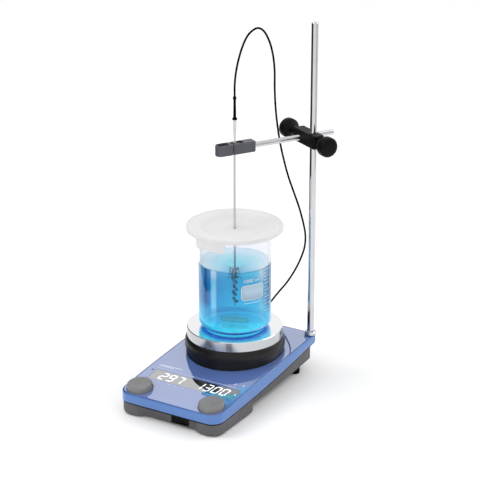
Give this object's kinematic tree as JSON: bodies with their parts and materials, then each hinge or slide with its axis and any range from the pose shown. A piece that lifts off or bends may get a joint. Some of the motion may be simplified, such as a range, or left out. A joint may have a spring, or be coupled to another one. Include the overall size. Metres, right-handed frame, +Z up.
{
  "type": "magnetic stirrer",
  "caption": "Hot-plate magnetic stirrer with a wedge base, round plate, control knobs and display, a stand rod with a clamped temperature probe, and a lidded beaker with a stir bar.",
  "frame": {"origin": "bottom centre of the bounding box of everything but the probe's lead and plug", "axes": "+Z up, -Y towards the front with the knobs, +X towards the user's right"},
  "size_m": [0.1962, 0.3188, 0.509],
  "materials": {
    "cover_blue": "gloss",
    "pane_blue": "mirror gloss",
    "housing_grey": "fine matt",
    "knob_grey": "satin",
    "black_plastic": "satin",
    "clamp_grey": "satin",
    "black_rubber": "matt",
    "polished_steel": "polished",
    "brushed_steel": "brushed",
    "aluminium": "turned",
    "board_green": "satin",
    "brass": "turned",
    "magnet": "ground",
    "insulation": "felted",
    "display_black": "gloss",
    "glass": "clear",
    "silicone_white": "satin",
    "white_plastic": "smooth",
    "sleeve_grey": "satin"
  },
  "bodies": {
    "base": {"upper_cover": "cover_blue", "top_pane": "pane_blue", "lower_housing": "housing_grey", "rear_foot_left": "black_rubber", "rear_foot_right": "black_rubber", "front_pad_left": "black_rubber", "front_pad_right": "black_rubber", "housing_screw_1": "brushed_steel", "housing_screw_2": "brushed_steel", "housing_screw_3": "brushed_steel", "housing_screw_4": "brushed_steel", "plate_ring": "black_plastic", "hotplate": "aluminium", "heater_disc": "brushed_steel", "insulation_disc": "insulation", "plate_sensor": "brass", "motor": "brushed_steel", "motor_bracket": "aluminium", "left_encoder": "black_plastic", "right_encoder": "black_plastic", "display_window": "display_black", "display_board": "board_green", "main_board": "board_green", "transformer": "black_plastic", "switch_frame": "black_plastic", "rocker_pin": "brushed_steel", "power_inlet": "black_plastic", "probe_socket": "brushed_steel", "probe_plug": "black_plastic", "probe_cable": "black_rubber", "support_rod": "polished_steel", "rod_collar": "polished_steel"},
    "rocker": {"switch_rocker": "black_plastic"},
    "left_shaft": {"left_knob_shaft": "brushed_steel"},
    "left_dial": {"left_knob": "knob_grey"},
    "right_shaft": {"right_knob_shaft": "brushed_steel"},
    "right_dial": {"right_knob": "knob_grey"},
    "rotor": {"rotor_shaft": "polished_steel", "magnet_carrier": "aluminium", "drive_magnet_north": "magnet", "drive_magnet_south": "magnet"},
    "vessel": {"beaker": "glass"},
    "vessel_lid": {"lid": "silicone_white"},
    "stirrer_bar": {"stir_bar": "white_plastic"},
    "stand_head": {"boss_block": "black_plastic", "holding_rod": "polished_steel", "clamp_body": "clamp_grey", "probe_tube": "polished_steel", "probe_sleeve": "sleeve_grey", "probe_grip": "black_rubber"},
    "jaw": {"clamp_jaw": "clamp_grey", "jaw_pin_left": "brushed_steel", "jaw_pin_right": "brushed_steel"},
    "front_pad": {"front_clamp_pad": "brass"},
    "front_screw": {"front_clamp_screw": "brushed_steel", "front_clamp_knob": "black_plastic"},
    "rear_pad": {"rear_clamp_pad": "brass"},
    "rear_screw": {"rear_clamp_screw": "brushed_steel", "rear_clamp_knob": "black_plastic"}
  },
  "joints": [
    {"name": "mains_rocker", "type": "hinge", "parent": "base", "child": "rocker", "pos_m": [-0.00143, -0.14552, 0.0098], "axis": [0, 0, 1], "range_deg": [-14, 0]},
    {"name": "left_knob_press", "type": "slide", "parent": "base", "child": "left_shaft", "axis": [0, 0.109, -0.994], "range_m": [0, 0.001], "stiffness_N_per_m": 900, "springref_m": -0.0008},
    {"name": "left_knob_turn", "type": "hinge", "parent": "left_shaft", "child": "left_dial", "pos_m": [-0.07563, -0.13412, 0.0346], "axis": [0, -0.109, 0.994], "continuous": true},
    {"name": "right_knob_press", "type": "slide", "parent": "base", "child": "right_shaft", "axis": [0, 0.109, -0.994], "range_m": [0, 0.001], "stiffness_N_per_m": 900, "springref_m": -0.0008},
    {"name": "right_knob_turn", "type": "hinge", "parent": "right_shaft", "child": "right_dial", "pos_m": [0.03937, -0.13412, 0.0346], "axis": [0, -0.109, 0.994], "continuous": true},
    {"name": "rotor_spin", "type": "hinge", "parent": "base", "child": "rotor", "pos_m": [-0.01813, 0.01988, 0.06], "axis": [0, 0, 1], "continuous": true},
    {"name": "beaker_lift", "type": "slide", "parent": "base", "child": "vessel", "axis": [0, 0, 1], "range_m": [0, 0.015]},
    {"name": "lid_lift", "type": "slide", "parent": "vessel", "child": "vessel_lid", "axis": [0, 0, 1], "range_m": [0, 0.08]},
    {"name": "stir_bar_spin", "type": "hinge", "parent": "vessel", "child": "stirrer_bar", "pos_m": [-0.01813, 0.01988, 0.0927], "axis": [0, 0, 1], "continuous": true},
    {"name": "stand_slide", "type": "slide", "parent": "base", "child": "stand_head", "axis": [0, 0, 1], "range_m": [0, 0.12], "deforming": ["probe_cable"]},
    {"name": "jaw_pull", "type": "slide", "parent": "stand_head", "child": "jaw", "axis": [-0.5012, -0.8653, 0], "range_m": [0, 0.006], "stiffness_N_per_m": 900, "springref_m": -0.004},
    {"name": "front_pad_travel", "type": "slide", "parent": "stand_head", "child": "front_pad", "axis": [0.8653, -0.5012, 0], "range_m": [0, 0.002]},
    {"name": "front_screw_turn", "type": "hinge", "parent": "front_pad", "child": "front_screw", "pos_m": [0.05537, 0.10688, 0.344], "axis": [0.8653, -0.5012, 0], "range_deg": [0, 720]},
    {"name": "rear_pad_travel", "type": "slide", "parent": "stand_head", "child": "rear_pad", "axis": [-0.8653, 0.5012, 0], "range_m": [0, 0.002]},
    {"name": "rear_screw_turn", "type": "hinge", "parent": "rear_pad", "child": "rear_screw", "pos_m": [0.03806, 0.1169, 0.344], "axis": [-0.8653, 0.5012, 0], "range_deg": [0, 720]}
  ],
  "couplings": [
    {"joint": "stir_bar_spin", "follows": "rotor_spin", "ratio": 1},
    {"joint": "front_screw_turn", "follows": "front_pad_travel", "rad_per_m": 6283.2},
    {"joint": "rear_screw_turn", "follows": "rear_pad_travel", "rad_per_m": 6283.2}
  ]
}
